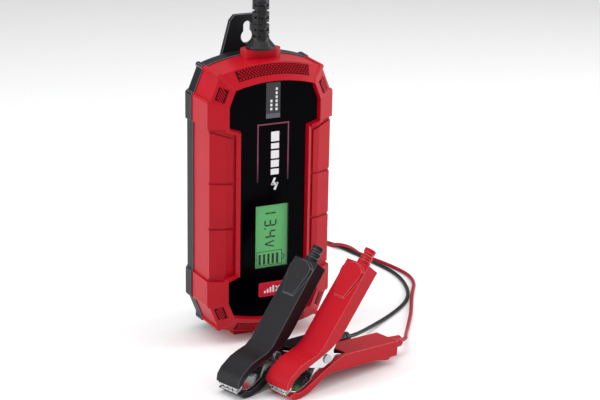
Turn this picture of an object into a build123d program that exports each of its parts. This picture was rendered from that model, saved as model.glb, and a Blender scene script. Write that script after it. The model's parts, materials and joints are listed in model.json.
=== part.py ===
# Smart car-battery charger: a two-shell housing that stands on its foot or hangs from its keyhole tab,
# with a display, one push button, a power board inside, and a lead that ends in two spring clamps.
# Frame: X to the right seen from the front, Y towards the back, Z up. The origin lies on the standing
# surface under the middle of the housing. Lengths are millimetres.
from build123d import *
import math
import os

os.makedirs("parts", exist_ok=True)

# ---------------------------------------------------------------- housing, seen from the front
front_y = -23.0          # plane of the raised ridge round the display panel
mid_z = 94.0             # height of the panel's centre above the standing surface
body_depth = 46.0
parting_depth = 30.0     # where the red front cover meets the black rear cover
corner_x = 27.4          # ridge: half width where the end arcs meet the corner chamfers
corner_z = 75.0
side_x = 31.6            # ridge: half width along the straight sides
side_z = 64.6            # ridge: where a corner chamfer meets a side
notch_z = 50.1           # ridge: start of the waist
waist_z = 47.4
waist_x = 23.7           # ridge: half width along the waist
end_sag = 4.0            # rise of the end arcs
edge_depth = 7.0         # depth of the front bevel

plain_front = 10.6       # how far the plain outline stands outside the ridge, front to back
plain_parting = 11.1
proud_front = 11.9       # the same for the bumpers and ribs
proud_parting = 12.4
rear_step = 0.7          # the rear cover stands out from the front cover by this
rear_edge_depth = 38.5   # where the rear bevel starts
rear_bevel = 5.0

panel_depth = 3.2        # display panel, behind the ridge
panel_thick = 1.5
panel_draft = 0.9
shelf_depth = 7.2        # back of the wall that carries the panel
cavity_depth = 10.2      # where the cavity reaches its full size
cavity_front = 8.2
cavity_parting = 8.9
cavity_rear = 9.4
back_wall_depth = 43.4

rib_half = 1.5
bumper_end_z = 50.3
pad_gap_z = 15.0         # grooves between the three side pads
pad_gap = 1.8

collar_centre = 23.4     # depth of the mains cord's axis
collar_half_x = 13.3
collar_half_y = 6.6
collar_top_z = 95.0
foot_half_x = 20.0
foot_front = 17.0
foot_back = 44.0
lead_exit_z = -82.0      # height of the output lead's exit, from the panel's centre

tab_depth = 42.8
tab_base_x = 19.0
tab_top_x = 10.6
tab_base_z = 84.0
tab_top_z = 113.0
keyhole_z = 98.4
keyhole_radius = 4.4
keyhole_slot = 5.6
keyhole_top_z = 108.4

# ---------------------------------------------------------------- display, button and board
display_z = -24.0
display_size = (23.0, 42.0)
key_z = -60.0
key_size = (18.0, 9.6)
key_proud = 0.6
gap = 0.3
board_depth = 12.0
board_thick = 1.6
back_of_board = board_depth + board_thick
board_size = (56.0, 124.0)
board_post = (23.5, 55.0)
case_post = (33.0, 57.5)
post_radius = 3.4
screw_radius = 1.5
screw_head_radius = 2.8
screw_seat_depth = 40.0

# ---------------------------------------------------------------- clamps, seen from the side
# u runs from the jaw tips along the clamp's middle line, v away from it on either side
clamp_half = 9.5
clamp_tilt = 22.5        # the middle line rises by this when the lower half lies on the surface
pivot_u = 34.5
handle_slope = 27.0
handle_u = 33.0
handle_v = 9.6
handle_length = 58.0
handle_thick = 9.6
grip_wall = 1.4
sheet = 1.0              # steel of the jaws
upper_jaw_half = 8.0
lower_jaw_half = 6.9
pad_tilt = 4.0           # the pad's top rises towards the end by this angle
lip_front = -1.3
lip_top = 2.3            # height of the bare steel lip above the middle line
tooth_height = 1.5       # depth of the notches between the teeth
relief_length = 11.0
relief_radius = 4.1
lead_diameter = 2.6
twin_width = 5.2
black_clamp_place = (-62.6, -93.5, 19.2)     # X, Y of the jaw tips, and the clamp's heading in degrees
red_clamp_place = (-36.6, -107.8, 16.5)


def save(name, shape):
    export_step(shape, f"parts/{name}.step")


def depth(d):
    """Plane that faces the front, d behind the ridge, centred on the panel."""
    return Plane(origin=(0, front_y + d, mid_z), x_dir=(1, 0, 0), z_dir=(0, -1, 0))


def prism(face, near, far):
    """A shape drawn on the front view, cut from one depth to another."""
    return extrude(depth(near) * face, amount=-(far - near))


def bar(x, z, width, height, near, far):
    return prism(Pos(x, z) * Rectangle(width, height), near, far)


def pin(x, z, radius, near, far):
    return prism(Pos(x, z) * Circle(radius), near, far)


def polygon(points):
    return make_face(Polyline(*points, close=True))


def ends_and_sides(right):
    """Closed outline from its right-hand corners, top to bottom, with an arc at each end."""
    left = [(-x, z) for x, z in reversed(right)]
    x, z = right[0]
    line = Polyline(*right)
    line += ThreePointArc(right[-1], (0, -z - end_sag), left[0])
    line += Polyline(*left)
    line += ThreePointArc(left[-1], (0, z + end_sag), right[0])
    return make_face(line)


def outline(grow):
    """The housing's outline, grown outwards from the ridge."""
    right = [(corner_x, corner_z), (side_x, side_z), (side_x, -side_z), (corner_x, -corner_z)]
    face = ends_and_sides(right)
    return offset(face, grow, kind=Kind.INTERSECTION) if grow else face


def opening():
    """The ridge round the display panel, with its waist."""
    half = [(corner_x, corner_z), (side_x, side_z), (side_x, notch_z), (waist_x, waist_z)]
    return ends_and_sides(half + [(x, -z) for x, z in reversed(half)])


def stack(levels):
    """Straight-sided solid through outlines given as (depth, growth)."""
    return loft([depth(d) * outline(g) for d, g in levels], ruled=True)


def four(x, z):
    return [(x, z), (-x, z), (x, -z), (-x, -z)]


def mirrored(shape):
    """The shape and its copies left, below and below left of the panel's centre."""
    side = shape + mirror(shape, Plane.YZ)
    level = Plane(origin=(0, 0, mid_z), z_dir=(0, 0, 1))
    return side + mirror(side, level)


def proud_zones():
    """Where the bumpers and corner ribs stand out, as prisms through the whole depth."""
    far_x = 60.0
    rise = 1.6
    bumper = polygon([(26.0, 46.3), (33.6, 48.9), (33.6, bumper_end_z), (far_x, bumper_end_z),
                      (far_x, side_z + 7.0), (side_x, side_z + rise), (22.0, side_z)])
    away = Vector(8.9, 9.8).normalized()
    across = Vector(-away.Y, away.X) * rib_half
    start = Vector(corner_x, corner_z) - away * 4
    end = start + away * 24
    rib = polygon([(p.X, p.Y) for p in (start + across, end + across, end - across, start - across)])
    return mirrored(prism(bumper, -1, body_depth + 1) + prism(rib, -1, body_depth + 1))


def waist_section(points, half_height):
    """A cross-section through the waist, drawn as (x, depth), along its height."""
    face = polygon([(x, front_y + d) for x, d in points])
    return Pos(0, 0, mid_z) * extrude(face, amount=half_height, both=True)


def waist():
    """Middle stretch of the front cover: rim, groove and lowered sides."""
    side = plain_front + side_x
    right = [(waist_x, 0), (26.0, 1.6), (26.0, 3.4), (28.0, 3.4), (32.4, 4.3), (side, 8.3),
             (plain_parting + side_x, parting_depth)]
    left = [(-x, d) for x, d in reversed(right)]
    return waist_section(right + left, bumper_end_z)


def side_pads():
    """Three raised pads on each side of the waist."""
    side = plain_front + side_x
    section = [(28.0, 2.2), (32.4, 3.1), (side, edge_depth), (side, edge_depth + 2), (32.4, 5.2), (28.0, 4.4)]
    middle = waist_section(section, pad_gap_z - pad_gap / 2)
    tall = waist_section(section, 48.2) - waist_section([(x, d) for x, d in section], pad_gap_z + pad_gap / 2)
    slant = polygon([(20, 40.8), (side + 1, 48.4), (side + 1, 60), (20, 60)])
    upper = tall - prism(slant, -1, 20)
    upper -= mirror(prism(slant, -1, 20), Plane(origin=(0, 0, mid_z), z_dir=(0, 0, 1)))
    pads = middle + upper
    return pads + mirror(pads, Plane.YZ)


def foot(near, far):
    return bar(0, -mid_z + 5, 2 * foot_half_x, 10, near, far)


def front_cover():
    plain = stack([(0, 0), (edge_depth, plain_front), (parting_depth, plain_parting)])
    proud = stack([(0, 0), (edge_depth, proud_front), (parting_depth, proud_parting)])
    lowered = bar(0, 0, 120, 2 * bumper_end_z, -1, 40)
    shell = (plain - lowered) + (proud & proud_zones()) + waist() + side_pads()
    collar = Pos(0, front_y + collar_centre, mid_z) * extrude(
        SlotOverall(2 * collar_half_x, 2 * collar_half_y), amount=collar_top_z)
    shell += collar & bar(0, 80, 60, 60, 0, parting_depth)
    shell += foot(foot_front, parting_depth)
    inwards = Plane(origin=(0, front_y, mid_z), x_dir=(1, 0, 0), z_dir=(0, 1, 0))
    slope = math.degrees(math.atan(panel_draft / panel_depth))
    shell -= extrude(inwards * opening(), amount=panel_depth, taper=slope)
    seat = offset(opening(), -panel_draft)
    shell -= prism(seat, panel_depth, panel_depth + panel_thick)
    shell -= stack([(shelf_depth, 0), (cavity_depth, cavity_front), (parting_depth, cavity_parting)])
    for x, z in four(*case_post):
        shell += pin(x, z, post_radius, shelf_depth - 1, parting_depth - 0.1) - pin(x, z, screw_radius, 18, 40)
    for x, z in four(*board_post):
        shell += pin(x, z, 2.8, shelf_depth - 0.5, board_depth) - pin(x, z, 1.25, 8, 40)
    shell -= bar(0, display_z, display_size[0] + 1, display_size[1] + 1, 0, 20)
    shell -= bar(0, key_z, key_size[0] + 2 * gap, key_size[1] + 2 * gap, 0, shelf_depth + 0.5)
    shell -= mains_hole()
    shell -= gasket_ring(29.0, parting_depth + 1)
    return shell


def gasket_ring(near, far):
    return prism(offset(outline(0), 10.3, kind=Kind.INTERSECTION), near, far) - prism(
        offset(outline(0), 9.4, kind=Kind.INTERSECTION), near - 1, far + 1)


def mains_hole():
    axis = Pos(0, front_y + collar_centre, mid_z)
    return axis * Pos(0, 0, 80) * Cylinder(5.0, 20, align=(Align.CENTER, Align.CENTER, Align.MIN))


def hanging_tab():
    """Tab above the housing, with a keyhole that is round below and slotted above."""
    tab = polygon([(-tab_base_x, tab_base_z), (tab_base_x, tab_base_z), (tab_top_x + 1.6, tab_top_z - 3.5),
                   (tab_top_x - 1.6, tab_top_z), (1.6 - tab_top_x, tab_top_z),
                   (-tab_top_x - 1.6, tab_top_z - 3.5)])
    plate = prism(tab, tab_depth, body_depth)
    slot_height = keyhole_top_z - keyhole_z - keyhole_slot / 2
    slot = bar(0, keyhole_z + slot_height / 2, keyhole_slot, slot_height, 40, 50)
    slot += pin(0, keyhole_z + slot_height, keyhole_slot / 2, 40, 50)
    return plate - slot - pin(0, keyhole_z, keyhole_radius, 40, 50)


def rear_cover():
    plain = stack([(parting_depth, plain_parting + rear_step), (rear_edge_depth, plain_parting + 1.1),
                   (body_depth, plain_parting + 1.1 - rear_bevel)])
    proud = stack([(parting_depth, proud_parting + rear_step), (rear_edge_depth, proud_parting + 1.1),
                   (body_depth, proud_parting + 1.1 - rear_bevel)])
    shell = plain + (proud & proud_zones()) + foot(parting_depth, foot_back) + hanging_tab()
    shell -= stack([(parting_depth - 1, cavity_parting), (parting_depth, cavity_parting),
                    (rear_edge_depth, cavity_rear), (back_wall_depth, cavity_rear - rear_bevel + 1)])
    for x, z in four(*case_post):
        shell += pin(x, z, post_radius, parting_depth, back_wall_depth + 0.5)
        shell -= pin(x, z, screw_radius + 0.1, 20, 50)
        shell -= pin(x, z, screw_head_radius + 0.3, screw_seat_depth, 50)
    shell += bar(0, -77.5, 20.4, 17, parting_depth, back_wall_depth + 1)
    shell -= bar(0, -85, 16, 24, parting_depth + 2, 50)
    return shell - pin(0, lead_exit_z, 3.4, 20, 40)


# ---------------------------------------------------------------- face of the charger
def front_panel():
    plate = prism(offset(opening(), -panel_draft - 0.05), panel_depth, panel_depth + panel_thick)
    plate -= bar(0, display_z, display_size[0] + 0.1, display_size[1] + 0.1, 0, 10)
    plate -= bar(0, key_z, key_size[0] + 2 * gap, key_size[1] + 2 * gap, 0, 10)
    return plate


def key_cap(width, height, near, far):
    block = bar(0, key_z, width, height, near, far)
    return fillet(block.edges().filter_by(Axis.Y), 1.2)


def mode_button():
    cap = key_cap(key_size[0], key_size[1], panel_depth - key_proud, shelf_depth + 0.2)
    flange = key_cap(key_size[0] + 3, key_size[1] + 3, shelf_depth + 0.1, shelf_depth + 1.1)
    return cap + flange + pin(0, key_z, 1.8, shelf_depth, 10.2)


def screw(x, z, head_radius, head_near, head_far, tip):
    """Pan-head screw driven from the back, with a cross recess."""
    shape = pin(x, z, head_radius, head_near, head_far) + pin(x, z, 0.99 * screw_radius, tip, head_near)
    for width, height in ((0.7, 3.0), (3.0, 0.7)):
        shape -= bar(x, z, width, height, head_far - 0.9, head_far + 1)
    return shape


def small_screw(x, z):
    near = board_depth + board_thick
    shape = pin(x, z, 2.4, near, near + 1.6) + pin(x, z, 1.24, 8.5, near)
    for width, height in ((0.6, 2.4), (2.4, 0.6)):
        shape -= bar(x, z, width, height, near + 0.9, near + 3)
    return shape


# ---------------------------------------------------------------- power board
def circuit_board():
    board = bar(0, 0, board_size[0], board_size[1], board_depth, board_depth + board_thick)
    for x, z in four(*board_post):
        board -= pin(x, z, 1.4, 0, 40)
    return board


def transformer():
    core = bar(3, 16, 25, 24, back_of_board + 3, back_of_board + 21)
    bobbin = bar(3, 16, 18, 30, back_of_board, back_of_board + 24)
    return core + bobbin


def choke():
    middle = back_of_board + 8.5
    ring = pin(-15, -44, 9, back_of_board + 0.2, middle + 2) - pin(-15, -44, 3.5, 0, 60)
    return fillet(ring.edges(), 1.2)


def mains_capacitor():
    return Pos(-19, front_y + back_of_board + 9, mid_z + 28) * Cylinder(8, 26)


def output_capacitors():
    cans = [pin(x, -24, 5, back_of_board, back_of_board + 20) for x in (2, 13)]
    return cans[0] + cans[1]


def suppression_capacitor():
    return fillet(bar(6, 47, 18, 8, back_of_board, back_of_board + 15).edges(), 0.8)


def fuse():
    """Glass fuse across the board, in two clips."""
    x, z = -13.5, 48.0
    body = Pos(x, front_y + back_of_board + 4.2, mid_z + z) * Rot(0, 90, 0) * Cylinder(2.6, 11)
    for side in (-4.5, 4.5):
        body += bar(x + side, z, 2, 3, back_of_board, back_of_board + 3)
    return body


def heatsink():
    plate = bar(22, -3, 2.4, 56, back_of_board, back_of_board + 22)
    for index in range(6):
        plate += bar(25.0, -28 + 10 * index, 4.6, 1.4, back_of_board + 2, back_of_board + 22)
    return plate


def power_transistors():
    parts = [bar(18.4, z, 4.6, 10, back_of_board + 4, back_of_board + 19) for z in (-7.0, 17.5)]
    return parts[0] + parts[1]


def relay():
    return fillet(bar(-16, -14, 15, 19, back_of_board, back_of_board + 15).edges(), 0.6)


def microcontroller():
    return bar(5, -52, 9, 9, back_of_board, back_of_board + 1.4)


# ---------------------------------------------------------------- strain reliefs
def mains_relief():
    """Moulded relief: flange inside, flared base on the collar, slotted flexible neck."""
    base = collar_top_z
    top = base + 31.5
    profile = [(3.2, 78), (7.0, 78), (7.0, 80.2), (4.9, 80.2), (4.9, base + 0.2), (9.4, base + 0.2),
               (9.4, base + 1.4), (6.2, base + 5.2), (5.6, base + 6.2), (5.3, top - 1.0), (4.6, top),
               (3.2, top)]
    face = make_face(Polyline(*[(r, 0, z) for r, z in profile], close=True))
    body = Pos(0, front_y + collar_centre, mid_z) * revolve(face, Axis.Z)
    for row in range(6):
        spot = Pos(0, front_y + collar_centre, mid_z + base + 8.4 + 3.9 * row)
        ring = spot * (Cylinder(7, 1.9) - Cylinder(3.9, 2.1))
        bridge = spot * Rot(0, 0, 90 * (row % 2)) * Box(3.2, 16, 3)
        body -= ring - bridge
    return body


def output_relief():
    """Flange behind the bay wall, neck through it, and a tapered ribbed sleeve."""
    axis = Plane(origin=(0, front_y, mid_z + lead_exit_z), x_dir=(1, 0, 0), z_dir=(0, 1, 0))
    profile = [(0, 28.0), (5.4, 28.0), (5.4, 29.9), (3.35, 29.9), (3.35, 32.1), (4.6, 32.1), (4.6, 34.0),
               (3.9, 36.0), (3.2, 45.5), (0, 45.5)]
    face = make_face(Polyline(*[(r, 0, d) for r, d in profile], close=True))
    body = axis * revolve(face, Axis.Z)
    for index in range(3):
        groove = Pos(0, 0, 37.2 + 2.6 * index) * (Cylinder(6, 1.1) - Cylinder(2.9, 1.2))
        body -= axis * groove
    return body


# ---------------------------------------------------------------- clamp: everything is drawn in (u, v)
def handle_point(along, inwards):
    """A point on the handle: so far along its outer face, and so far in from it."""
    angle = math.radians(handle_slope)
    u = handle_u + along * math.cos(angle) + inwards * math.sin(angle)
    v = handle_v + along * math.sin(angle) - inwards * math.cos(angle)
    return (u, v)


def side_plate(points, half, sign):
    """Outline in (u, v), mirrored for the lower half, made as wide as the part."""
    face = make_face(Polyline(*[(u, 0, sign * v) for u, v in points], close=True))
    return extrude(face, amount=half, both=True)


def shell_outline(inset):
    """Outer line of a half from the jaw tip to the handle's end, moved in by inset."""
    nose = [(-1.0 + inset, lip_top + 0.2), (-1.0 + inset, 3.0), (1.0 + 0.8 * inset, 6.4 - 0.6 * inset),
            (5.4 + 0.3 * inset, 8.8 - inset), (14.0, 10.2 - inset), (21.0, 9.6 - inset), (27.0, 8.5 - inset)]
    return nose + [handle_point(0, inset), handle_point(handle_length - inset, inset)]


def grip(sign, jaw_half):
    """Plastic half: a channel over the steel jaw, with a thumb pad and a cord relief at its end."""
    inner = [handle_point(handle_length, handle_thick), handle_point(11.0, handle_thick), (38.5, 5.0),
             (29.0, 5.0), (23.0, 5.4), (12.0, 5.8), (6.0, 4.9), (3.0, lip_top + 0.2)]
    body = side_plate(shell_outline(0) + inner, clamp_half, sign)
    floor = handle_thick - 1.2
    hollow = shell_outline(grip_wall)
    hollow = hollow + [handle_point(handle_length - grip_wall, floor), handle_point(14.0, floor),
                       handle_point(14.0, handle_thick + 4), handle_point(11.0, handle_thick + 4),
                       (36, -3), (3, -3), (-1.0 + grip_wall, -3)]
    body -= side_plate(hollow, jaw_half + 0.1, sign)
    body += thumb_pad(sign) + cord_relief(sign)
    body -= cord_bore(sign)
    return body


def pad_outline(inset):
    """Outline of a thumb pad: narrow towards the jaws, with a round end."""
    wide = clamp_half - 0.3 - inset
    narrow = 4.6 - 0.7 * inset
    line = Polyline((20 - inset, -wide), (15.5, -wide), (inset, -narrow), (inset, narrow), (15.5, wide),
                    (20 - inset, wide))
    return make_face(line + ThreePointArc((20 - inset, wide), (24.4 - inset, 0), (20 - inset, -wide)))


def thumb_pad(sign):
    """Raised pad on the handle's outer face, rising and widening towards its end."""
    u, v = handle_point(handle_length - 25.0, 0.5)
    angle = math.radians(handle_slope)
    face = Plane(origin=(u, 0, sign * v), x_dir=(math.cos(angle), 0, sign * math.sin(angle)),
                 z_dir=(-math.sin(angle), 0, sign * math.cos(angle)))
    top = Plane(face.offset(1.2).location * Rot(0, -pad_tilt, 0))
    return loft([face * pad_outline(0), top * pad_outline(0.9)], ruled=True)


def handle_axis(sign, along, inwards):
    """Plane square to the handle at a point inside it, facing out of its end."""
    u, v = handle_point(along, inwards)
    angle = math.radians(handle_slope)
    return Plane(origin=(u, 0, sign * v), x_dir=(0, 1, 0), z_dir=(math.cos(angle), 0, sign * math.sin(angle)))


def cord_relief(sign):
    """Ribbed stub that grips a cord where it enters the handle."""
    profile = [(0, -0.5), (relief_radius, -0.5), (relief_radius, 3.0), (3.3, 3.2), (3.3, 4.6),
               (relief_radius - 0.2, 4.8), (relief_radius - 0.2, 6.6), (3.1, 6.8), (3.1, 8.2),
               (relief_radius - 0.4, 8.4), (relief_radius - 0.4, relief_length), (0, relief_length)]
    face = make_face(Polyline(*[(r, 0, z) for r, z in profile], close=True))
    return handle_axis(sign, handle_length, handle_thick / 2) * revolve(face, Axis.Z)


def cord_bore(sign):
    bore = Pos(0, 0, -3) * Cylinder(1.6, relief_length + 10, align=(Align.CENTER, Align.CENTER, Align.MIN))
    return handle_axis(sign, handle_length, handle_thick / 2) * bore


def jaw(sign, half):
    """Pressed steel channel: back plate, toothed front lip and two ears on the pivot."""
    skin = grip_wall + 0.05
    reach = 30.0
    lip = [(lip_front, 0.4), (lip_front, lip_top), (skin - 1.0, lip_top)]
    back = lip + shell_outline(skin)[1:-1] + [handle_point(reach, skin)]
    ear = [handle_point(reach, handle_thick - 2.4), handle_point(16.0, handle_thick - 2.4), (45.0, 4.6),
           (41.0, 1.5), (40.0, -2.6), (36.5, -4.2), (29.5, -3.6), (22.0, 2.2), (19.0, 5.0), (12.0, 5.4),
           (6.0, 4.5), (3.4, 2.0), (3.4, 0.4)]
    body = side_plate(back + ear, half, sign)
    lip = [(lip_front + sheet, -8), (lip_front + sheet, lip_top - sheet),
           (skin - 1.0 + sheet, lip_top - sheet)]
    hollow = lip + shell_outline(skin + sheet)[1:-1] + [handle_point(reach + 2, skin + sheet)]
    hollow = hollow + [handle_point(reach + 2, handle_thick + 6), (36, -8)]
    body -= side_plate(hollow, half - sheet, sign)
    tooth = half / 4
    for index in range(-4, 5, 2):
        notch = Pos(0, index * tooth, 0) * make_face(
            Polyline((0, -tooth / 2, 0), (0, tooth / 2, 0), (0, 0, sign * tooth_height), close=True))
        body -= Pos(-3, 0, sign * 0.3) * extrude(notch, amount=5, dir=(1, 0, 0))
    body -= Pos(pivot_u, 0, 0) * Rot(90, 0, 0) * Cylinder(1.5 if sign > 0 else 1.45, 30)
    return body


def pivot_pin():
    shaft = Rot(90, 0, 0) * Cylinder(1.45, 2 * upper_jaw_half + 0.6)
    for side in (-1, 1):
        shaft += Pos(0, side * (upper_jaw_half + 0.55), 0) * Rot(90, 0, 0) * Cylinder(2.9, 0.7)
    return Pos(pivot_u, 0, 0) * shaft


def spring_coil(sign):
    """Torsion spring on the pivot, as the sleeve that its turns fill, with its fixed arm."""
    sleeve = Rot(90, 0, 0) * (Cylinder(4.0, 9.0) - Cylinder(2.4, 10))
    return Pos(pivot_u, 0, 0) * sleeve + spring_arm(sign, -3.8, 3.2)


def spring_arm(sign, across, start):
    """Straight arm of the spring, from its turns along the inside of a handle."""
    wire = 0.6
    end = handle_point(20.0, grip_wall + sheet + 1.2)
    heading = Vector(end[0] - pivot_u, 0, sign * end[1])
    base = Vector(pivot_u, across, 0) + heading.normalized() * start
    length = heading.length - start
    plane = Plane(origin=base, x_dir=(0, 1, 0), z_dir=heading.normalized())
    return plane * Cylinder(wire, length, align=(Align.CENTER, Align.CENTER, Align.MIN))


def crimp(sign):
    """Crimped end of the copper wire, held in the lower handle."""
    barrel = Cylinder(1.5, 9.0, align=(Align.CENTER, Align.CENTER, Align.MAX))
    tongue = Pos(0, 0, -12) * Box(1.0, 4.0, 8.0)
    return handle_axis(sign, handle_length - 4.0, handle_thick / 2) * (barrel + tongue)


def lying(shape, place):
    """Lays a clamp drawn in (u, v) on the surface at its place."""
    x, y, heading = place
    return Pos(x, y, tip_height) * Rot(0, 0, heading) * Rot(0, -clamp_tilt, 0) * shape


def clamp(name, place):
    lower = grip(-1, lower_jaw_half)
    save(f"{name}_upper_grip", lying(grip(1, upper_jaw_half), place))
    save(f"{name}_lower_grip", lying(lower, place))
    save(f"{name}_upper_jaw", lying(jaw(1, upper_jaw_half), place))
    save(f"{name}_lower_jaw", lying(jaw(-1, lower_jaw_half), place))
    save(f"{name}_pivot_pin", lying(pivot_pin(), place))
    save(f"{name}_spring", lying(spring_coil(-1), place))
    save(f"{name}_spring_arm", lying(spring_arm(1, 3.8, 4.2), place))
    save(f"{name}_wire_crimp", lying(crimp(-1), place))


def height_of_tips():
    """Height of the jaw tips when the lower half rests on the surface."""
    tilted = Rot(0, -clamp_tilt, 0) * grip(-1, lower_jaw_half)
    return -tilted.bounding_box().min.Z


tip_height = height_of_tips()


# ---------------------------------------------------------------- output lead
coil_centre = (32.0, 74.0)
coil_radius = 28.7       # middle of the turns
coil_half = 5.4
coil_height = 5.4

exit_route = [(0, 22.5, 12), (0, 29.5, 12), (0.2, 36.5, 10.4), (0.4, 43.2, 7.2), (0.6, 49.6, 3.9),
              (0.8, 55.6, 1.9), (0.8, 60.3, 1.35)]
twin_route = [(22.5, 106.4, 3.9), (35.0, 116.6, 2.8), (49.0, 127.2, 1.7), (64.0, 137.2, 1.35),
              (72.6, 142.6, 1.35), (82.0, 146.2, 1.35), (91.9, 147.2, 1.35), (101.7, 145.1, 1.35),
              (110.3, 140.0, 1.35), (116.8, 132.4, 1.35), (121.0, 122.6, 1.35), (125.0, 110.4, 1.35),
              (127.8, 101.6, 1.35), (129.3, 93.5, 1.35)]
red_route = [(62.47, -78.45, 9.19), (66.9, -77.14, 8.84), (70.6, -73.7, 8.2), (73.2, -68.9, 7.3),
             (77.4, -62.4, 6.0), (83.2, -53.8, 4.5), (91.6, -41.4, 3.1), (100.5, -28.2, 2.0),
             (108.2, -16.2, 1.5), (115.0, -4.6, 1.35), (121.4, 5.8, 1.35), (127.8, 15.4, 1.35),
             (134.4, 25.0, 1.35), (138.6, 35.6, 1.35), (140.1, 46.0, 1.35), (139.2, 56.6, 1.35),
             (137.4, 67.0, 1.35), (134.9, 77.2, 1.35), (132.4, 85.6, 1.35), (130.65, 93.2, 1.35)]
black_route = [(34.94, -59.53, 9.19), (39.4, -57.98, 8.81), (43.4, -55.3, 8.0), (48.6, -51.0, 6.6),
               (55.9, -44.7, 4.8), (66.4, -36.2, 2.9), (77.0, -28.4, 1.7), (87.2, -21.8, 1.35),
               (97.2, -14.8, 1.35), (105.8, -8.0, 1.35), (113.2, -0.6, 1.35), (119.5, 7.8, 1.35),
               (125.2, 18.6, 1.35), (130.0, 32.6, 1.35), (132.5, 45.6, 1.35), (132.7, 57.6, 1.35),
               (131.3, 69.4, 1.35), (129.3, 81.0, 1.35), (128.2, 88.0, 1.35), (127.95, 93.2, 1.35)]


def cord_path(name, points):
    """Straight runs joined by arcs, each as large as the shorter of its two runs allows."""
    runs = [Vector(*b) - Vector(*a) for a, b in zip(points, points[1:])]
    radii = []
    for before, after in zip(runs, runs[1:]):
        half_turn = math.radians(before.get_angle(after)) / 2
        radii.append(0.45 * min(before.length, after.length) / math.tan(half_turn))
    print(name, "smallest radii", [round(r, 1) for r in sorted(radii)[:4]])
    return FilletPolyline(*points, radius=radii)


def cord(name, points, section, area):
    """A cord laid along its route, with its volume checked against its length."""
    path = cord_path(name, points)
    start = Plane(origin=path @ 0, x_dir=(path % 0).cross(Vector(0, 0, 1)), z_dir=path % 0)
    shape = sweep(start * section, path=path)
    print(name, "length", round(path.length, 1), "volume ratio", round(shape.volume / (area * path.length), 4))
    save(name, shape)


def lead_coil():
    """Outer shape of the put-away turns."""
    ring = Cylinder(coil_radius + coil_half, coil_height) - Cylinder(coil_radius - coil_half, coil_height)
    return Pos(coil_centre[0], coil_centre[1], coil_height / 2) * ring


# ---------------------------------------------------------------- build
save("front_cover", front_cover())
save("rear_cover", rear_cover())
save("cover_gasket", gasket_ring(29.05, parting_depth))
save("front_panel", front_panel())
window = bar(0, display_z, display_size[0], display_size[1], panel_depth, panel_depth + panel_thick)
save("display_window", window)
save("lcd_glass", bar(0, display_z, display_size[0] + 0.6, display_size[1] + 0.6, 4.8, shelf_depth + 0.2))
save("backlight", bar(0, display_z, 26, 46, shelf_depth + 0.25, board_depth - 0.8))
save("mode_button", mode_button())
save("tact_switch", bar(0, key_z, 6, 6, 10.9, board_depth) - pin(0, key_z, 1.7, 10, 11.85))
save("tact_plunger", pin(0, key_z, 1.6, 10.2, 11.3))
save("circuit_board", circuit_board())
save("board_screws", Compound([small_screw(x, z) for x, z in four(*board_post)]))
long_screws = [screw(x, z, screw_head_radius, screw_seat_depth, 42.4, 19.0) for x, z in four(*case_post)]
save("case_screws", Compound(long_screws))
save("transformer", transformer())
save("choke", choke())
save("mains_capacitor", mains_capacitor())
save("output_capacitors", output_capacitors())
save("suppression_capacitor", suppression_capacitor())
save("fuse", fuse())
save("heatsink", heatsink())
save("power_transistors", power_transistors())
save("relay", relay())
save("microcontroller", microcontroller())
save("mains_relief", mains_relief())
save("output_relief", output_relief())
clamp("black_clamp", black_clamp_place)
clamp("red_clamp", red_clamp_place)
wire_area = math.pi * lead_diameter ** 2 / 4
cord("red_lead", red_route, Circle(lead_diameter / 2), wire_area)
cord("black_lead", black_route, Circle(lead_diameter / 2), wire_area)
twin_area = wire_area + lead_diameter ** 2
cord("twin_lead_exit", exit_route, SlotOverall(twin_width, lead_diameter), twin_area)
cord("twin_lead", twin_route, SlotOverall(twin_width, lead_diameter), twin_area)
save("twin_lead_coil", lead_coil())
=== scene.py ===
import json
import math

import bmesh
import bpy
from mathutils import Matrix, Vector


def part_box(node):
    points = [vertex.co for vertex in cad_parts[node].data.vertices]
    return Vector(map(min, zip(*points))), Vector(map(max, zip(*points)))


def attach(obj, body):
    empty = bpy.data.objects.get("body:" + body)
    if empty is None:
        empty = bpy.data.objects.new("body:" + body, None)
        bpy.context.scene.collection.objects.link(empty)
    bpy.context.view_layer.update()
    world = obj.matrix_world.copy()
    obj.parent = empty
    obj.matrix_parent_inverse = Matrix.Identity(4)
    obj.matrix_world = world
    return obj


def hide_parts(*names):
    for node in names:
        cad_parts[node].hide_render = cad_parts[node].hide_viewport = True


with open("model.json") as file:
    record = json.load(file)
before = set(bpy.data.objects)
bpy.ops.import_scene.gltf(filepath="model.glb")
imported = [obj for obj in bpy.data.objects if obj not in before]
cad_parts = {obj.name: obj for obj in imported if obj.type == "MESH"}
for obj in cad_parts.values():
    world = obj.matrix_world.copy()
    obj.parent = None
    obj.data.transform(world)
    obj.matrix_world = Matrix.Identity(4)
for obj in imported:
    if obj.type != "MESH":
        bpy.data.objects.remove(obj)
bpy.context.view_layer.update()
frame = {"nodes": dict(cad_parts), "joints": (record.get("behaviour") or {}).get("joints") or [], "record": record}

nodes = frame["nodes"]
joints = {joint["name"]: joint for joint in frame["joints"]}
mm = 0.001
bodyOf = {node: body for body, members in frame["record"]["behaviour"]["bodies"].items() for node in members}
slotOf = {part["node"]: part["material_slot"] for part in frame["record"]["subparts"]}
print("frame loaded")

# camera
camera = {"eye": (-457.1, -960.6, 429.6), "azimuth": -26.878, "elevation": 17.763, "roll": 1.059,
          "lens": 103.5, "sensor": 36}


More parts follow.
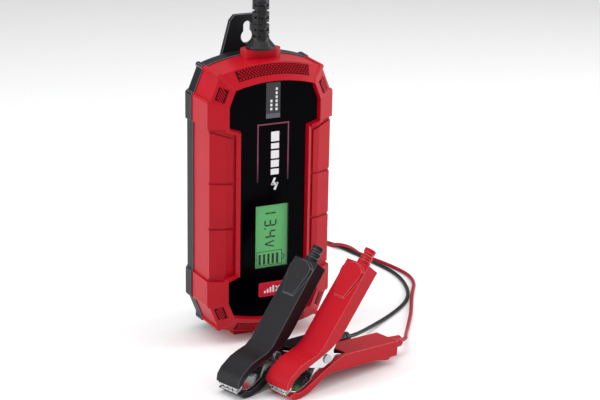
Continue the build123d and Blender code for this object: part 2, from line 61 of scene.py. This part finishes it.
def addCamera():
    a, e, r = (math.radians(camera[key]) for key in ("azimuth", "elevation", "roll"))
    back = Vector((math.sin(a) * math.cos(e), -math.cos(a) * math.cos(e), math.sin(e)))
    right = Vector((math.cos(a), math.sin(a), 0))
    up = back.cross(right)
    tiltedRight = right * math.cos(r) + up * math.sin(r)
    tiltedUp = up * math.cos(r) - right * math.sin(r)
    data = bpy.data.cameras.new("camera")
    data.lens = camera["lens"]
    data.sensor_width = camera["sensor"]
    data.clip_start = 0.01
    view = bpy.data.objects.new("camera", data)
    turn = Matrix((tiltedRight, tiltedUp, back)).transposed().to_4x4()
    view.matrix_world = Matrix.Translation(Vector(camera["eye"]) * mm) @ turn
    bpy.context.scene.collection.objects.link(view)
    bpy.context.scene.camera = view


addCamera()


# sRGB hex to the linear colour that a shader socket takes
def linear(hexCode):
    channels = [int(hexCode[i:i + 2], 16) / 255 for i in (1, 3, 5)]
    return [c / 12.92 if c <= 0.04045 else ((c + 0.055) / 1.055) ** 2.4 for c in channels] + [1]


# a node with its settings and its links
def addNode(tree, kind, settings=None, links=None):
    node = tree.nodes.new(kind)
    for name, value in (settings or {}).items():
        if isinstance(name, int) or name in node.inputs:
            node.inputs[name].default_value = value
        else:
            setattr(node, name, value)
    for name, socket in (links or {}).items():
        tree.links.new(socket, node.inputs[name])
    return node


def newMaterial(name):
    material = bpy.data.materials.new(name)
    material.use_nodes = True
    tree = material.node_tree
    tree.nodes.clear()
    output = addNode(tree, "ShaderNodeOutputMaterial")
    shader = addNode(tree, "ShaderNodeBsdfPrincipled")
    tree.links.new(shader.outputs["BSDF"], output.inputs["Surface"])
    return material, tree, shader


# Moulded plastic, rubber or plated metal: two near colours in soft clouds, a grain of a real size in the
# relief, and a roughness that wanders a little, as a mould's spark-eroded face leaves it.
def surface(name, colours, roughness, grain, relief, metallic=0.0, ior=1.5, clouds=18.0, stretch=(1, 1, 1),
            **sockets):
    material, tree, shader = newMaterial(name)
    place = addNode(tree, "ShaderNodeTexCoord")
    scaled = addNode(tree, "ShaderNodeMapping", {"Scale": stretch}, {"Vector": place.outputs["Object"]})
    wide = addNode(tree, "ShaderNodeTexNoise", {"Scale": 1 / (clouds * mm), "Detail": 3.0},
                   {"Vector": place.outputs["Object"]})
    fine = addNode(tree, "ShaderNodeTexNoise", {"Scale": 1 / (grain * mm), "Detail": 2.0},
                   {"Vector": scaled.outputs["Vector"]})
    tint = addNode(tree, "ShaderNodeMix", {"data_type": "RGBA", 6: linear(colours[0]), 7: linear(colours[1])},
                   {0: wide.outputs["Fac"]})
    rough = addNode(tree, "ShaderNodeMapRange", {"To Min": roughness * 0.85, "To Max": roughness * 1.15},
                    {"Value": fine.outputs["Fac"]})
    bump = addNode(tree, "ShaderNodeBump", {"Strength": 0.6, "Distance": relief * mm},
                   {"Height": fine.outputs["Fac"]})
    shader.inputs["Metallic"].default_value = metallic
    if not metallic:
        shader.inputs["IOR"].default_value = ior
    for socket, value in sockets.items():
        shader.inputs[socket.replace("_", " ")].default_value = value
    tree.links.new(tint.outputs[2], shader.inputs["Base Color"])
    tree.links.new(rough.outputs["Result"], shader.inputs["Roughness"])
    tree.links.new(bump.outputs["Normal"], shader.inputs["Normal"])
    return material


# Printed frame on the panel: its ink thins out downwards, over the stretch between two heights.
def fadingInk(name, ink, ground, low, high):
    material, tree, shader = newMaterial(name)
    place = addNode(tree, "ShaderNodeTexCoord")
    axes = addNode(tree, "ShaderNodeSeparateXYZ", links={"Vector": place.outputs["Object"]})
    amount = addNode(tree, "ShaderNodeMapRange", {"From Min": low * mm, "From Max": high * mm},
                     {"Value": axes.outputs["Z"]})
    tint = addNode(tree, "ShaderNodeMix", {"data_type": "RGBA", 6: linear(ground), 7: linear(ink)},
                   {0: amount.outputs["Result"]})
    tree.links.new(tint.outputs[2], shader.inputs["Base Color"])
    shader.inputs["Roughness"].default_value = 0.4
    return material


finish = {
    # ABS from a spark-eroded mould: satin, with a soft broad highlight
    "red_abs": surface("red satin ABS", ("#a80016", "#b8041c"), 0.38, 0.5, 0.012, Specular_IOR_Level=0.22),
    "black_abs": surface("black satin ABS", ("#08080c", "#111218"), 0.42, 0.5, 0.02, Specular_IOR_Level=0.3),
    # polycarbonate overlay: deep black under a clear gloss
    "panel_gloss": surface("black gloss overlay", ("#000002", "#010104"), 0.16, 6.0, 0.002, ior=1.45,
                           Specular_IOR_Level=0.04),
    "clear_window": surface("clear polycarbonate", ("#f4fff4", "#ffffff"), 0.06, 6.0, 0.001, ior=1.58,
                            Alpha=0.03, Specular_IOR_Level=0.15),
    "display_green": surface("lit display", ("#3fa552", "#4cb25f"), 0.5, 1.0, 0.002,
                             Emission_Color=linear("#4db35e"), Emission_Strength=0.12),
    "backlight_white": surface("light guide", ("#e9efe2", "#f4f7ef"), 0.3, 2.0, 0.002),
    "red_key": surface("red gloss ABS key", ("#c4092a", "#d10f30"), 0.28, 0.6, 0.004),
    # flexible PVC of cords and strain reliefs: a little waxy, so a wide dull highlight
    "black_pvc": surface("black flexible PVC", ("#09090c", "#131317"), 0.38, 0.8, 0.01,
                         Specular_IOR_Level=0.35),
    "red_pvc": surface("red flexible PVC", ("#8a0420", "#a00a2a"), 0.34, 0.8, 0.01, Specular_IOR_Level=0.3),
    "gasket_rubber": surface("black gasket rubber", ("#101010", "#1c1c1c"), 0.7, 0.6, 0.02),
    # nickel-plated pressed steel: bright, with fine rolling marks along the sheet
    "jaw_steel": surface("nickel-plated steel", ("#c9cbce", "#dcdddf"), 0.2, 0.9, 0.006, metallic=1.0,
                         stretch=(1, 1, 5)),
    "steel": surface("zinc-plated steel", ("#a9acb0", "#c0c3c6"), 0.3, 0.7, 0.008, metallic=1.0),
    "spring_steel": surface("drawn spring wire", ("#85888d", "#9a9da2"), 0.26, 0.7, 0.006, metallic=1.0),
    "tinned_copper": surface("tinned copper", ("#c4b9a6", "#d3cabb"), 0.35, 0.6, 0.01, metallic=1.0),
    "can_aluminium": surface("drawn aluminium", ("#c3c5c7", "#d5d6d8"), 0.3, 0.8, 0.006, metallic=1.0),
    "ferrite": surface("ferrite and tape", ("#1d1b1b", "#33302c"), 0.6, 0.8, 0.02),
    "board_green": surface("green solder mask", ("#0c4a26", "#125a30"), 0.3, 1.2, 0.006),
    "component_black": surface("black epoxy", ("#121212", "#1f1f1f"), 0.5, 0.6, 0.01),
    "component_yellow": surface("yellow film case", ("#c8911a", "#d69f24"), 0.4, 0.9, 0.008),
    "component_blue": surface("blue relay case", ("#16418c", "#1d4c9c"), 0.35, 0.9, 0.006),
    "fuse_glass": surface("fuse glass", ("#e9eef0", "#f4f8f9"), 0.05, 4.0, 0.001, Alpha=0.35),
}
# painted highlight: the rounded edges get paler, glossier copies of the finishes, standing for the light they
# catch
paintedEdgeHighlight = {
    "red_abs": surface("red ABS, painted edge highlight", ("#f48086", "#fb9a9c"), 0.24, 0.8, 0.002),
    "black_abs": surface("black ABS, painted edge highlight", ("#4a4c55", "#5c5e68"), 0.26, 0.8, 0.002),
    "black_pvc": surface("black PVC, painted edge highlight", ("#34343b", "#44444c"), 0.28, 0.8, 0.002),
}
# painted shade under the moulded textures: the cover's red made dull and deep
paintedTextureShade = surface("red ABS, painted texture shade", ("#3a0008", "#48000c"), 0.7, 0.3, 0.01,
                       Specular_IOR_Level=0.1)
white = surface("white screen ink", ("#e4e2e6", "#f6f4f8"), 0.45, 0.4, 0.004)
grey = surface("grey screen ink", ("#26272a", "#2e2f33"), 0.4, 0.4, 0.004)
paleGrey = surface("pale grey screen ink", ("#55515a", "#5f5b64"), 0.4, 0.4, 0.004)
segmentInk = surface("display segment", ("#000201", "#010502"), 0.8, 0.4, 0.002, Specular_IOR_Level=0.02)
print("materials made")


# a new piece from a bmesh, with its material and body
def addPiece(name, bm, material, body, replaced=(), smooth=None):
    mesh = bpy.data.meshes.new(name)
    bm.to_mesh(mesh)
    bm.free()
    for entry in (material if isinstance(material, list) else [material]):
        mesh.materials.append(entry)
    if smooth is not None:
        mesh.polygons.foreach_set("use_smooth", [True] * len(mesh.polygons))
        mesh.set_sharp_from_angle(angle=math.radians(smooth))
    piece = bpy.data.objects.new(name, mesh)
    bpy.context.scene.collection.objects.link(piece)
    if replaced:
        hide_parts(*replaced)
    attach(piece, body)
    return piece


# a CAD piece as it comes off the tool: its doubles merged and its edges rounded, with a painted highlight on the
# rounded edges
def finished(node, edge, sharp=32, segments=2):
    bm = bmesh.new()
    bm.from_mesh(nodes[node].data)
    bmesh.ops.remove_doubles(bm, verts=bm.verts, dist=0.002 * mm)
    bmesh.ops.dissolve_limit(bm, angle_limit=math.radians(0.5), verts=bm.verts, edges=bm.edges)
    # the second material is the painted edge highlight
    materials = [finish[slotOf[node]], paintedEdgeHighlight.get(slotOf[node], finish[slotOf[node]])]
    piece = addPiece(node + "_finished", bm, materials, bodyOf[node], (node,), sharp)
    if edge:
        rounding = piece.modifiers.new("rounded edges", "BEVEL")
        rounding.width = edge * mm
        rounding.segments = segments
        rounding.limit_method = "ANGLE"
        rounding.angle_limit = math.radians(sharp)
        # the bevel's faces take the painted edge highlight
        rounding.material = 1
        weighted = piece.modifiers.new("even shading", "WEIGHTED_NORMAL")
        weighted.keep_sharp = True
    return piece


for node in nodes:
    nodes[node].data.materials.clear()
    nodes[node].data.materials.append(finish[slotOf[node]])

edges = {"front_cover": 0.6, "rear_cover": 0.6, "mode_button": 0.4, "mains_relief": 0.25,
         "output_relief": 0.2, "case_screws": 0.0}
for node, edge in edges.items():
    finished(node, edge)
for clamp in ("black_clamp", "red_clamp"):
    for part, edge in (("upper_grip", 0.55), ("lower_grip", 0.55), ("upper_jaw", 0.15), ("lower_jaw", 0.15),
                       ("pivot_pin", 0.15)):
        finished(f"{clamp}_{part}", edge)
print("shells finished")

# face of the housing, in millimetres from the display panel's centre
face = {"front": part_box("front_cover")[0].y / mm, "middle": sum(c.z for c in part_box("front_panel")) / 2 / mm,
        "panelDepth": 3.2, "ink": 0.06}


def facePoint(x, z, depth):
    return Vector((x, face["front"] + depth, face["middle"] + z)) * mm


# a flat printed bar, turned about its own middle
def addBar(bm, x, z, width, height, depth, thick, turn=0.0):
    spot = Matrix.Translation(facePoint(x, z, depth - thick / 2))
    place = spot @ Matrix.Rotation(math.radians(turn), 4, "Y")
    size = Matrix.Diagonal((width * mm, thick * mm, height * mm, 1))
    bmesh.ops.create_cube(bm, size=1, matrix=place @ size)


def printed(name, bars, material, depth):
    bm = bmesh.new()
    for bar in bars:
        addBar(bm, *bar[:4], depth, face["ink"], *bar[4:])
    return addPiece(name, bm, material, "root")


# tag, frame line and marks on the overlay
panelPrint = {"tag": (-0.3, 65.8, 9.8, 23.0), "tagFoot": (-0.3, 55.8, 9.8, 3.0), "frameTop": 51.0,
              "frameFoot": 13.0, "frameHalf": 10.6, "line": 0.9,
              "marks": ((42.2, 6.4), (36.0, 3.6), (30.4, 5.2), (24.4, 4.6), (19.0, 3.8))}


def printPanel():
    depth = face["panelDepth"]
    printed("panel_tag", [panelPrint["tag"]], grey, depth)
    printed("panel_tag_foot", [panelPrint["tagFoot"]], paleGrey, depth - face["ink"])
    ticks = [(2.0, 73.0 - 2.6 * i, 1.4, 1.6) for i in range(6)]
    ticks += [(-1.6, 65.4 - 2.6 * i, 1.4, 1.6) for i in range(3)]
    printed("panel_tag_ticks", ticks, white, depth - face["ink"])
    half, top, foot, line = (panelPrint[key] for key in ("frameHalf", "frameTop", "frameFoot", "line"))
    sides = [(side * half, (top + foot) / 2, line, top - foot) for side in (-1, 1)]
    fadeFrom = face["middle"] + foot
    pink = fadingInk("plum screen ink", "#7c2c48", "#030309", fadeFrom, fadeFrom + 14)
    printed("panel_frame", sides + [(0, top - line / 2, 2 * half - line, line)], pink, depth)
    printed("panel_marks", [(1.4, z, 5.6, height) for z, height in panelPrint["marks"]], white, depth)
    bolt = [(0.6, 12.6, 1.5, 5.2, 24), (2.4, 9.4, 1.5, 5.2, 24), (1.5, 11.0, 3.6, 1.5, 0)]
    printed("panel_bolt", bolt, white, depth)


printPanel()

# characters of the display lie on their side: they are read downwards, with their tops to the right
display = {"floor": -0.4, "height": 7.6, "wide": 3.9, "stroke": 1.0, "depth": 4.78}
segments = {"a": (0.5, 1, 1, 0), "g": (0.5, 0.5, 1, 0), "d": (0.5, 0, 1, 0),
            "b": (1, 0.75, 0, 1), "c": (1, 0.25, 0, 1), "f": (0, 0.75, 0, 1), "e": (0, 0.25, 0, 1)}
characters = ((-7.0, "bc"), (-15.2, "abcdg"), (-22.9, "bcfg"))


def drawDisplay():
    bars = []
    height, wide, stroke = display["height"], display["wide"], display["stroke"]
    low = display["floor"] - height / 2
    for top, lit in characters:
        for letter in lit:
            across, up, lies, stands = segments[letter]
            z = top + wide * (0.5 - across)
            x = low + height * up
            bars.append((x, z, stroke + stands * (height / 2 - 1.5 * stroke),
                         stroke + lies * (wide - 1.7 * stroke)))
    bars.append((low, -19.2, 1.0, 1.0))
    bars += [(-0.8, -28.7, 6.8, 0.8, -15), (-0.8, -30.7, 6.8, 0.8, 15)]
    bars += [(-7.7 + 3.1 * i, -39.8, 1.6, 7.0) for i in range(5)]
    bars += [(-0.9, -34.6, 17.6, 0.4), (-0.9, -44.0, 17.6, 0.4)]
    bars += [(-9.7, -39.3, 0.4, 9.4), (7.9, -39.3, 0.4, 9.4)]
    bars += [(9.2, -38.3, 0.6, 2.4, -40), (9.2, -40.3, 0.6, 2.4, 40)]
    bm = bmesh.new()
    for bar in bars:
        addBar(bm, *bar[:4], display["depth"], 0.05, *bar[4:])
    addPiece("display_segments", bm, segmentInk, "root")


drawDisplay()


# white level symbol on the key
def markKey():
    bm = bmesh.new()
    top = (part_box("mode_button")[0].y / mm) - face["front"]
    for i in range(4):
        addBar(bm, -4.8 + 2.0 * i, -61.4 + 0.5 * i, 1.2, 1.6 + 1.0 * i, top, 0.05)
    addBar(bm, 4.4, -60.0, 0.9, 4.6, top, 0.05, 38)
    addBar(bm, 4.4, -60.0, 0.9, 4.6, top, 0.05, -38)
    addPiece("key_symbol", bm, white, "mode_key")


markKey()
print("panel printed")

# moulded textures on the front cover's bevel
bevel = {"depth": 7.0, "reach": 10.6, "radius": 95.84, "centre": -16.84, "cornerA": (27.4, 75.0),
         "cornerB": (31.6, 64.6)}
studs = {"rows": (4.5, 5.55, 6.6, 7.65, 8.7), "step": 2.1, "half": 24.5, "radius": 0.92, "rise": 0.75}
hatch = {"bars": 5, "first": 2.4, "step": 1.7, "length": 5.6, "width": 0.62, "rise": 0.8, "reach": 6.1,
         "turn": 38}
# where the sheet of painted shade under the textures lies: its band's reach and arc, and its corner patches
shadeSheet = {"low": 3.6, "high": 9.6, "angle": 14.0, "steps": 24, "proud": 0.03, "patch": (8.6, 6.6)}


# frame of axes on the bevel: along the edge, up the bevel, and out of its surface
def onBevel(x, z, out, grown):
    lift = math.hypot(bevel["depth"], bevel["reach"])
    up = Vector((out.x * bevel["reach"], bevel["depth"], out.z * bevel["reach"])) / lift
    outward = Vector((out.x * bevel["depth"], -bevel["reach"], out.z * bevel["depth"])) / lift
    along = up.cross(outward)
    origin = facePoint(x + out.x * grown, z + out.z * grown, bevel["depth"] * grown / bevel["reach"])
    return Matrix.Translation(origin) @ Matrix((along, up, outward)).transposed().to_4x4()


def addStuds(bm, side):
    for row, grown in enumerate(studs["rows"]):
        radius = bevel["radius"] + grown
        count = int(studs["half"] / studs["step"])
        for i in range(-count, count + 1):
            angle = (i + 0.5 * (row % 2)) * studs["step"] / radius
            out = Vector((math.sin(angle), 0, side * math.cos(angle)))
            x = bevel["radius"] * math.sin(angle)
            z = side * (bevel["centre"] + bevel["radius"] * math.cos(angle))
            place = onBevel(x, z, out, grown) @ Matrix.Translation((0, 0, (studs["rise"] / 2 - 0.02) * mm))
            bmesh.ops.create_cone(bm, cap_ends=True, segments=4, radius1=studs["radius"] * mm,
                                  radius2=0.18 * mm, depth=studs["rise"] * mm, matrix=place)


def addHatch(bm, sideX, sideZ):
    a, b = (Vector((x, 0, z)) for x, z in (bevel["cornerA"], bevel["cornerB"]))
    run = (b - a).normalized()
    for i in range(hatch["bars"]):
        spot = a + run * (hatch["first"] + hatch["step"] * i)
        out = Vector((-run.z, 0, run.x))
        mirrored = Vector((sideX * out.x, 0, sideZ * out.z))
        place = onBevel(sideX * spot.x, sideZ * spot.z, mirrored, hatch["reach"])
        turn = Matrix.Rotation(math.radians(hatch["turn"] * sideX * sideZ), 4, "Z")
        size = Matrix.Diagonal((hatch["width"] * mm, hatch["length"] * mm, hatch["rise"] * mm, 1))
        bmesh.ops.create_cube(bm, size=1, matrix=place @ turn @ size)


# painted shade under the textures: a dark band along each end's arc and a patch on each corner
def addPaintedTextureShade():
    bm = bmesh.new()
    lift = shadeSheet["proud"]
    for side in (-1, 1):
        start = math.radians(-shadeSheet["angle"])
        edge = []
        for grown in (shadeSheet["low"], shadeSheet["high"]):
            radius = bevel["radius"] + grown + lift
            depth = bevel["depth"] * grown / bevel["reach"] - lift
            edge.append(bm.verts.new(facePoint(radius * math.sin(start),
                                               side * (bevel["centre"] + radius * math.cos(start)), depth)))
        line = bm.edges.new(edge)
        bmesh.ops.spin(bm, geom=edge + [line], cent=facePoint(0, side * bevel["centre"], 0),
                       axis=(0, side, 0), angle=-2 * start, steps=shadeSheet["steps"])
        for sideX in (-1, 1):
            a, b = (Vector((x, 0, z)) for x, z in (bevel["cornerA"], bevel["cornerB"]))
            spot = (a + b) / 2
            run = (b - a).normalized()
            place = onBevel(sideX * spot.x, side * spot.z, Vector((-sideX * run.z, 0, side * run.x)),
                            hatch["reach"]) @ Matrix.Translation((0, 0, lift * mm))
            width, height = shadeSheet["patch"]
            bmesh.ops.create_grid(bm, x_segments=1, y_segments=1, size=0.5,
                                  matrix=place @ Matrix.Diagonal((width * mm, height * mm, 1, 1)))
    bmesh.ops.solidify(bm, geom=bm.faces[:], thickness=2 * lift * mm)
    bmesh.ops.recalc_face_normals(bm, faces=bm.faces)
    addPiece("painted_texture_shade", bm, paintedTextureShade, "root")


def addTexture():
    addPaintedTextureShade()
    bm = bmesh.new()
    for side in (-1, 1):
        addStuds(bm, side)
        for sideX in (-1, 1):
            addHatch(bm, sideX, side)
    addPiece("front_cover_texture", bm, finish["red_abs"], "root")


addTexture()
print("textures cut")

# clamps
clampPlaces = {"black_clamp": (-62.6, -93.5, 19.2), "red_clamp": (-36.6, -107.8, 16.5)}
clampTilt = 22.5
spring = {"mean": 3.2, "wire": 0.6, "turns": 6.5, "width": 8.0, "armEnd": (52.45, -15.47)}


# from the clamp's own side view, in millimetres, to its place on the surface
def clampMatrix(clamp):
    pivot = Vector(joints[clamp + "_opening"]["pos_m"])
    heading = math.radians(clampPlaces[clamp][2])
    turn = Matrix.Rotation(heading, 4, "Z") @ Matrix.Rotation(math.radians(-clampTilt), 4, "Y")
    return Matrix.Translation(pivot) @ turn @ Matrix.Diagonal((mm, mm, mm, 1))


# close-wound torsion spring on the pin, with the arm that rests in the lower half
def addSpring(clamp):
    bm = bmesh.new()
    start = -spring["width"] / 2
    place = Matrix.Translation((spring["mean"], start, 0))
    ring = bmesh.ops.create_circle(bm, segments=10, radius=spring["wire"], cap_ends=False, matrix=place)
    steps = int(spring["turns"] * 18)
    profile = list({edge for vert in ring["verts"] for edge in vert.link_edges})
    bmesh.ops.spin(bm, geom=ring["verts"] + profile, cent=(0, 0, 0), axis=(0, 1, 0), steps=steps,
                   angle=spring["turns"] * 2 * math.pi, dvec=(0, spring["width"] / steps, 0))
    open_ = [edge for edge in bm.edges if edge.is_boundary]
    bmesh.ops.holes_fill(bm, edges=open_, sides=0)
    end = Vector((spring["armEnd"][0] - 34.5, 0, spring["armEnd"][1]))
    lean = Vector((0, 0, 1)).rotation_difference(end).to_matrix().to_4x4()
    arm = Matrix.Translation(end * 0.58 + Vector((0, start, 0))) @ lean
    bmesh.ops.create_cone(bm, cap_ends=True, segments=12, radius1=spring["wire"], radius2=spring["wire"],
                          depth=end.length * 0.8, matrix=arm)
    bmesh.ops.recalc_face_normals(bm, faces=bm.faces)
    bm.transform(clampMatrix(clamp))
    addPiece(clamp + "_wound_spring", bm, finish["spring_steel"], "root",
             (clamp + "_spring",), 40)


for clamp in clampPlaces:
    addSpring(clamp)
print("clamps fitted")

# cords: the route's points in millimetres, from where each cord starts
lead = {"diameter": 2.6, "width": 5.2}
exitRoute = [(0, 22.5, 12), (0, 29.5, 12), (0.2, 36.5, 10.4), (0.4, 43.2, 7.2), (0.6, 49.6, 3.9),
             (0.8, 55.6, 1.9), (0.8, 60.3, 1.35)]
twinRoute = [(22.5, 106.4, 3.9), (35.0, 116.6, 2.8), (49.0, 127.2, 1.7), (64.0, 137.2, 1.35),
             (72.6, 142.6, 1.35), (82.0, 146.2, 1.35), (91.9, 147.2, 1.35), (101.7, 145.1, 1.35),
             (110.3, 140.0, 1.35), (116.8, 132.4, 1.35), (121.0, 122.6, 1.35), (125.0, 110.4, 1.35),
             (127.8, 101.6, 1.35), (129.3, 93.5, 1.35)]
redRoute = [(130.65, 93.2, 1.35), (132.4, 85.6, 1.35), (134.9, 77.2, 1.35), (137.4, 67.0, 1.35),
            (139.2, 56.6, 1.35), (140.1, 46.0, 1.35), (138.6, 35.6, 1.35), (134.4, 25.0, 1.35),
            (127.8, 15.4, 1.35), (121.4, 5.8, 1.35), (115.0, -4.6, 1.35), (108.2, -16.2, 1.5),
            (100.5, -28.2, 2.0), (91.6, -41.4, 3.1), (83.2, -53.8, 4.5), (77.4, -62.4, 6.0),
            (73.2, -68.9, 7.3), (70.6, -73.7, 8.2), (66.9, -77.14, 8.84), (62.47, -78.45, 9.19)]
blackRoute = [(127.95, 93.2, 1.35), (128.2, 88.0, 1.35), (129.3, 81.0, 1.35), (131.3, 69.4, 1.35),
              (132.7, 57.6, 1.35), (132.5, 45.6, 1.35), (130.0, 32.6, 1.35), (125.2, 18.6, 1.35),
              (119.5, 7.8, 1.35), (113.2, -0.6, 1.35), (105.8, -8.0, 1.35), (97.2, -14.8, 1.35),
              (87.2, -21.8, 1.35), (77.0, -28.4, 1.7), (66.4, -36.2, 2.9), (55.9, -44.7, 4.8),
              (48.6, -51.0, 6.6), (43.4, -55.3, 8.0), (39.4, -57.98, 8.81), (34.94, -59.53, 9.19)]
coil = {"centre": (32.0, 74.0), "columns": (31.4, 26.1), "layers": (1.35, 4.0), "perTurn": 16, "turns": 4.14,
        "from": 180.0}


# the put-away turns: out, in, in, out, each change of column or layer spread over a quarter turn
def coilPoints():
    order = ((0, 0), (1, 0), (1, 1), (0, 1), (0, 1))
    points = []
    count = int(coil["turns"] * coil["perTurn"])
    for i in range(1, count + 1):
        turn = i / coil["perTurn"]
        now, share = order[int(turn)], min(1.0, (turn % 1) * 4)
        before = order[max(0, int(turn) - 1)]
        radius = coil["columns"][before[0]] * (1 - share) + coil["columns"][now[0]] * share
        height = coil["layers"][before[1]] * (1 - share) + coil["layers"][now[1]] * share
        angle = math.radians(coil["from"] - 360 * turn)
        points.append((coil["centre"][0] + radius * math.cos(angle),
                       coil["centre"][1] + radius * math.sin(angle), height))
    return points


def routeCurve(name, route, bevelDepth):
    data = bpy.data.curves.new(name, "CURVE")
    data.dimensions = "3D"
    spline = data.splines.new("NURBS")
    spline.points.add(len(route) - 1)
    for point, place in zip(spline.points, route):
        point.co = (*(Vector(place) * mm), 1)
    spline.order_u = 3
    spline.use_endpoint_u = True
    spline.use_smooth = True
    data.resolution_u = 8
    data.bevel_depth = bevelDepth
    data.bevel_resolution = 5
    data.use_fill_caps = True
    piece = bpy.data.objects.new(name, data)
    bpy.context.scene.collection.objects.link(piece)
    return piece


def curveLength(points):
    return sum((b - a).length for a, b in zip(points, points[1:]))


# the smooth line of a route
def linePoints(route):
    guide = routeCurve("guide", route, 0)
    bpy.context.view_layer.update()
    mesh = bpy.data.meshes.new_from_object(guide.evaluated_get(bpy.context.evaluated_depsgraph_get()))
    points = [vert.co.copy() for vert in mesh.vertices]
    bpy.data.objects.remove(guide)
    bpy.data.meshes.remove(mesh)
    return points


def singleLead(name, route, material, node):
    route = route + [tuple(2 * b - a for a, b in zip(route[-2], route[-1]))]
    piece = routeCurve(name, route, lead["diameter"] / 2 * mm)
    piece.data.materials.append(material)
    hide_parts(node)
    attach(piece, "root")
    curveLength(linePoints(route))


singleLead("red_clamp_lead", redRoute, finish["red_pvc"], "red_lead")
singleLead("black_clamp_lead", blackRoute, finish["black_pvc"], "black_lead")


# two wires side by side, which change sides in a half twist just before they part
def twinLead():
    centre = linePoints(exitRoute[:-1] + coilPoints() + twinRoute)
    total = curveLength(centre)
    twist = {"end": 6 * mm, "length": 26 * mm}
    done = 0.0
    path, offsets = [], []
    for i, point in enumerate(centre):
        before, after = centre[max(0, i - 1)], centre[min(len(centre) - 1, i + 1)]
        done += (point - before).length
        along = (after - before).normalized()
        side = along.cross(Vector((0, 0, 1))).normalized()
        share = min(1.0, max(0.0, (done - total + twist["end"] + twist["length"]) / twist["length"]))
        angle = math.pi * share
        offsets.append(side * math.cos(angle) + Vector((0, 0, 1)) * math.sin(angle))
        path.append(point + Vector((0, 0, lead["diameter"] / 2 * mm * math.sin(angle))))
    bm = bmesh.new()
    for index, sign in enumerate((1, -1)):
        data = bpy.data.curves.new("strand", "CURVE")
        data.dimensions = "3D"
        spline = data.splines.new("POLY")
        spline.points.add(len(path) - 1)
        for knot, place, offset in zip(spline.points, path, offsets):
            knot.co = (*(place + offset * sign * 0.48 * lead["diameter"] * mm), 1)
        data.bevel_depth = lead["diameter"] / 2 * mm
        data.bevel_resolution = 2
        data.use_fill_caps = True
        data.twist_mode = "Z_UP"
        strand = bpy.data.objects.new("strand", data)
        bpy.context.scene.collection.objects.link(strand)
        bpy.context.view_layer.update()
        mesh = bpy.data.meshes.new_from_object(strand.evaluated_get(bpy.context.evaluated_depsgraph_get()))
        first = len(bm.faces)
        bm.from_mesh(mesh)
        bm.faces.ensure_lookup_table()
        for faceItem in bm.faces[first:]:
            faceItem.material_index = index
        bpy.data.objects.remove(strand)
    bmesh.ops.remove_doubles(bm, verts=bm.verts, dist=0.01 * mm)
    piece = addPiece("twin_output_lead", bm, [finish["red_pvc"], finish["black_pvc"]], "root",
                     ("twin_lead_exit", "twin_lead_coil", "twin_lead"), 50)


twinLead()
print("cords laid")


# studio
def areaLight(name, place, aim, size, power, colour=(1, 1, 1)):
    data = bpy.data.lights.new(name, "AREA")
    data.shape = "RECTANGLE"
    data.size, data.size_y = size
    data.energy = power
    data.color = colour
    light = bpy.data.objects.new(name, data)
    light.location = place
    light.rotation_euler = (Vector(aim) - Vector(place)).to_track_quat("-Z", "Y").to_euler()
    bpy.context.scene.collection.objects.link(light)


areaLight("left strip", (-1.3, 0.05, 0.7), (0, 0, 0.1), (0.5, 1.2), 11)
areaLight("right strip", (1.2, -0.35, 0.6), (0.03, 0, 0.1), (0.5, 1.2), 11)
areaLight("top light", (0.0, 0.1, 1.4), (0, 0, 0.0), (1.4, 1.2), 13)
areaLight("front fill", (-0.5, -1.4, 0.9), (0, -0.05, 0.05), (0.6, 0.5), 3)
world = bpy.data.worlds.new("studio")
world.use_nodes = True
background = world.node_tree.nodes["Background"]
background.inputs["Color"].default_value = (1, 1, 1, 1)
background.inputs["Strength"].default_value = 0.4
bpy.context.scene.world = world

floorMesh = bpy.data.meshes.new("floor")
bm = bmesh.new()
bmesh.ops.create_grid(bm, x_segments=1, y_segments=1, size=4)
bm.to_mesh(floorMesh)
bm.free()
floor = bpy.data.objects.new("floor", floorMesh)
floorMesh.materials.append(surface("pale studio floor", ("#f4f4f5", "#f8f8f9"), 0.6, 8.0, 0.001))
bpy.context.scene.collection.objects.link(floor)
bpy.context.scene.view_settings.view_transform = "Standard"
print("studio lit")
